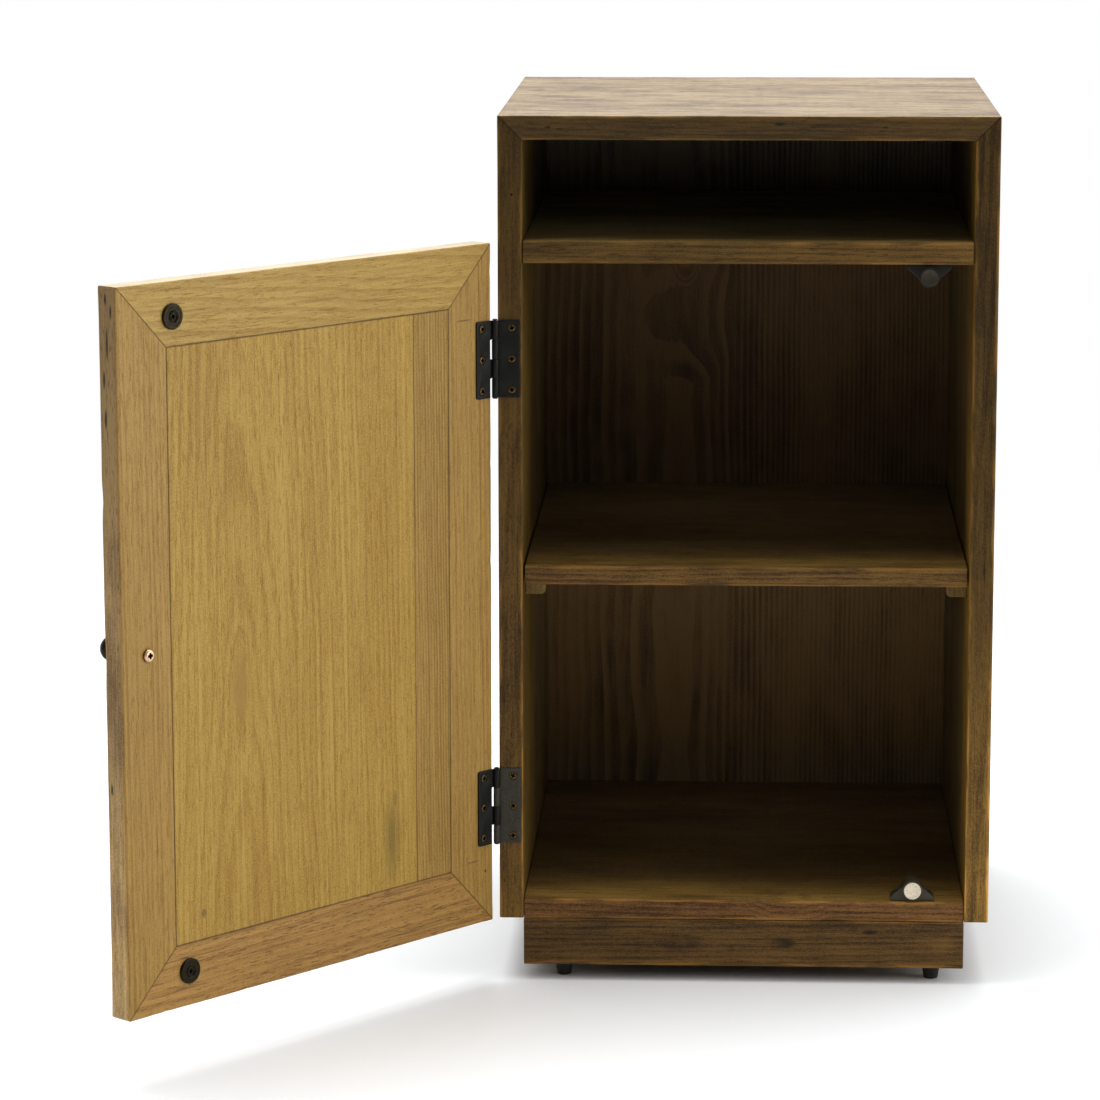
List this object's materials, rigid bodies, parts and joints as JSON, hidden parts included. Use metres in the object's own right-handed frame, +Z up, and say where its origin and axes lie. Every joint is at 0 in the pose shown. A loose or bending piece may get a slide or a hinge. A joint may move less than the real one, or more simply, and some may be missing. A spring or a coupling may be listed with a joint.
{
  "type": "storage side table",
  "caption": "Tall wooden side table with an open cubby over a hinged-door cabinet, loose inner shelf and recessed plinth.",
  "frame": {"origin": "on the floor, under the middle of the case's width and depth", "axes": "+Z up, +X to the right seen from the front, +Y from the front to the back"},
  "size_m": [0.696, 0.7451, 0.722],
  "materials": {
    "case_wood": "dark brown stain on open-grained reclaimed hardwood, satin",
    "door_wood": "light honey lacquer inside, satin",
    "joinery_wood": "raw sanded wood",
    "foot_plastic": "matt black",
    "catch_plastic": "moulded black, satin",
    "magnet_nickel": "nickel plate, satin",
    "hinge_iron": "blackened steel, satin",
    "antique_brass": "aged, dark",
    "zinc_screw": "yellow zinc plate",
    "knob_bronze": "oil-rubbed bronze"
  },
  "bodies": {
    "case": {"top_panel": "case_wood", "left_side_panel": "case_wood", "right_side_panel": "case_wood", "case_mitre_tongues": "joinery_wood", "divider_shelf": "case_wood", "divider_shelf_dowels": "joinery_wood", "bottom_board": "case_wood", "bottom_board_dowels": "joinery_wood", "back_panel": "case_wood", "back_panel_screws": "zinc_screw", "shelf_cleat_left": "case_wood", "shelf_cleat_right": "case_wood", "cleat_screws": "zinc_screw", "plinth_front_board": "case_wood", "plinth_back_board": "case_wood", "plinth_left_board": "case_wood", "plinth_right_board": "case_wood", "plinth_corner_blocks": "joinery_wood", "foot_front_left": "foot_plastic", "foot_front_right": "foot_plastic", "foot_back_left": "foot_plastic", "foot_back_right": "foot_plastic", "foot_screws": "zinc_screw", "upper_catch_housing": "catch_plastic", "upper_catch_magnet": "magnet_nickel", "lower_catch_housing": "catch_plastic", "lower_catch_magnet": "magnet_nickel", "catch_screws": "zinc_screw", "upper_hinge_case_leaf": "hinge_iron", "lower_hinge_case_leaf": "hinge_iron", "upper_hinge_pin": "hinge_iron", "lower_hinge_pin": "hinge_iron", "case_hinge_screws": "antique_brass"},
    "door": {"door_hinge_stile": "door_wood", "door_free_stile": "door_wood", "door_bottom_rail": "door_wood", "door_top_rail": "door_wood", "door_mitre_tongues": "joinery_wood", "door_panel_narrow_board": "door_wood", "door_panel_wide_board": "door_wood", "door_knob": "knob_bronze", "knob_screw": "zinc_screw", "upper_strike_disc": "antique_brass", "lower_strike_disc": "antique_brass", "strike_screws": "antique_brass", "upper_hinge_door_leaf": "hinge_iron", "lower_hinge_door_leaf": "hinge_iron", "door_hinge_screws": "antique_brass"},
    "shelf": {"middle_shelf": "case_wood"}
  },
  "joints": [
    {"name": "door_hinge", "type": "hinge", "parent": "case", "child": "door", "pos_m": [-0.205, -0.2187, 0], "axis": [0, 0, -1], "range_deg": [-130, 50]},
    {"name": "shelf_lift", "type": "slide", "parent": "case", "child": "shelf", "axis": [0, 0, 1], "range_m": [0, 0.2]}
  ]
}
